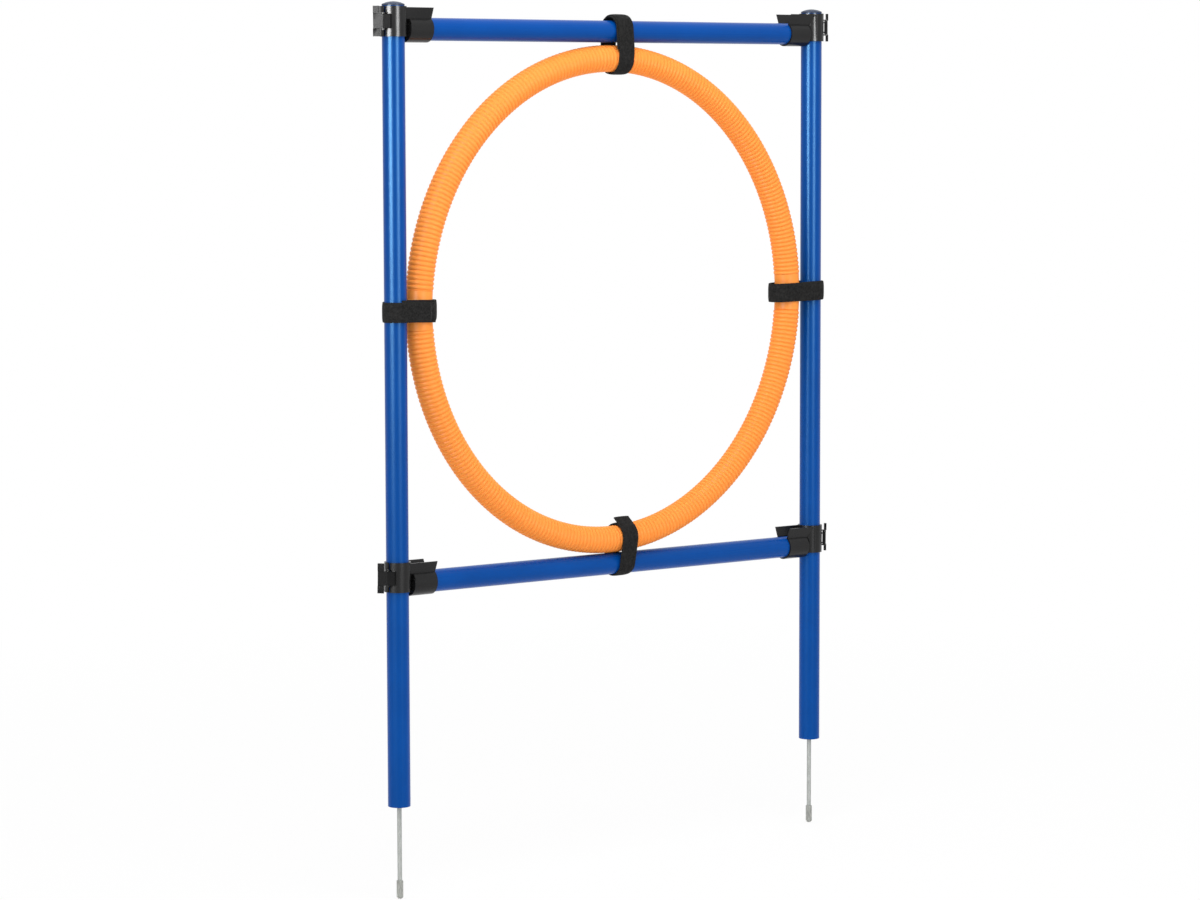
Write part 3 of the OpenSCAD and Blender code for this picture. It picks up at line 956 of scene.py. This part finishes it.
@dataclass
class Studio:
    """White sweep, soft lights and the camera of the photograph."""

    floor_z: float
    floor_reach: float = 14.0
    floor_grey: float = 0.86
    floor_roughness: float = 0.9
    floor_specular: float = 0.1
    sweep_start: float = 0.7
    sweep_end: float = 2.2
    sweep_share: float = 0.86
    ambient: float = 0.96
    camera_at: Place = (-3.027, -3.5721, 0.9226)
    bearing: float = 40.051
    pitch: float = -5.266
    roll: float = -0.135
    lens: float = 103.7
    sensor: float = 36.0
    shift: float = -0.03
    softboxes: tuple[Softbox, ...] = (
        Softbox("high key", at=(-0.4, -0.7, 1.9), towards=(0.0, 0.0, 0.85), size=(1.4, 1.0), power=13.0),
        Softbox("side gloss", at=(-2.85, -0.75, 1.02), towards=(0.0, 0.0, 1.02), size=(1.3, 0.9),
                power=240.0, lights=False),
        Softbox("front gloss", at=(-0.2, -3.98, 1.05), towards=(0.0, 0.0, 1.05), size=(1.5, 1.0),
                power=200.0, lights=False))

    def seen(self, graph: Graph) -> Socket:
        """Tells rays that show the background from rays that light the object.

        Args:
            graph: Nodes that ask.

        Returns:
            1 for rays from the camera, or through gloss or glass.
        """
        path = graph.add("ShaderNodeLightPath")
        gloss = graph.combine("MAXIMUM", path.outputs["Is Glossy Ray"], path.outputs["Is Transmission Ray"])
        return graph.combine("MAXIMUM", path.outputs["Is Camera Ray"], gloss)

    def floor(self) -> None:
        """Lays the white floor, which keeps the shadow near the object."""
        bm = bmesh.new()
        bmesh.ops.create_grid(bm, x_segments=1, y_segments=1, size=self.floor_reach,
                              matrix=Matrix.Translation((0.0, 0.0, self.floor_z)))
        mesh = bpy.data.meshes.new("floor")
        bm.to_mesh(mesh)
        bm.free()
        graph = Graph(bpy.data.materials.new("floor_white"))
        grey = (self.floor_grey, self.floor_grey, self.floor_grey, 1.0)
        graph.set(Base_Color=grey, Roughness=self.floor_roughness, Specular_IOR_Level=self.floor_specular)
        reach = graph.add("ShaderNodeVectorMath", operation="LENGTH")
        graph.link(graph.place((1.0, 1.0, 0.0)), reach.inputs[0])
        sweep = graph.between(reach.outputs["Value"], self.sweep_share, 1.0, self.sweep_start, self.sweep_end)
        share = graph.combine("MULTIPLY", self.seen(graph), sweep)
        white = graph.add("ShaderNodeEmission", {"Color": (1.0, 1.0, 1.0, 1.0), "Strength": 1.0})
        mix = graph.add("ShaderNodeMixShader")
        graph.link(share, mix.inputs["Fac"])
        graph.link(graph.shader.outputs["BSDF"], mix.inputs[1])
        graph.link(white.outputs["Emission"], mix.inputs[2])
        graph.link(mix.outputs["Shader"], graph.tree.nodes["Material Output"].inputs["Surface"])
        mesh.materials.append(graph.owner)
        floor = bpy.data.objects.new("floor", mesh)
        bpy.context.scene.collection.objects.link(floor)

    def sky(self) -> None:
        """Surrounds the scene with white that lights it softly."""
        graph = Graph(bpy.data.worlds.new("studio"))
        bpy.context.scene.world = graph.owner
        graph.set(Color=(1.0, 1.0, 1.0, 1.0))
        strength = graph.between(self.seen(graph), self.ambient, 1.0, 0.0, 1.0)
        graph.link(strength, graph.shader.inputs["Strength"])

    def camera(self) -> None:
        """Sets the camera where the photograph was taken."""
        bearing, pitch, roll = (math.radians(a) for a in (self.bearing, self.pitch, self.roll))
        look = Vector((math.sin(bearing) * math.cos(pitch), math.cos(bearing) * math.cos(pitch),
                       math.sin(pitch)))
        level = Vector((math.cos(bearing), -math.sin(bearing), 0.0))
        right = math.cos(roll) * level + math.sin(roll) * level.cross(look)
        up = right.cross(look)
        eye = bpy.data.cameras.new("camera")
        eye.sensor_fit = "HORIZONTAL"
        eye.sensor_width = self.sensor
        eye.lens = self.lens
        eye.shift_y = self.shift
        camera = bpy.data.objects.new("camera", eye)
        turn = Matrix((right, up, -look)).transposed().to_4x4()
        camera.matrix_world = Matrix.Translation(self.camera_at) @ turn
        bpy.context.scene.collection.objects.link(camera)
        bpy.context.scene.camera = camera

    def build(self) -> None:
        """Sets up the studio."""
        self.camera()
        self.floor()
        self.sky()
        for softbox in self.softboxes:
            softbox.hang()
        bpy.context.scene.view_settings.view_transform = "Standard"
        log.info("studio: floor at %.4f", self.floor_z)


def main() -> None:
    """Builds and dresses the jump."""
    logging.basicConfig(level=logging.INFO, format="%(name)s: %(message)s")
    Studio(CAD_BOX[0][2] - FLOOR_GAP).build()
    finishes = Finishes()
    Hardware(finishes).build()
    RibbedHose(finishes).build()
    HoopStraps(finishes).build()


if __name__ == "__main__":
    main()
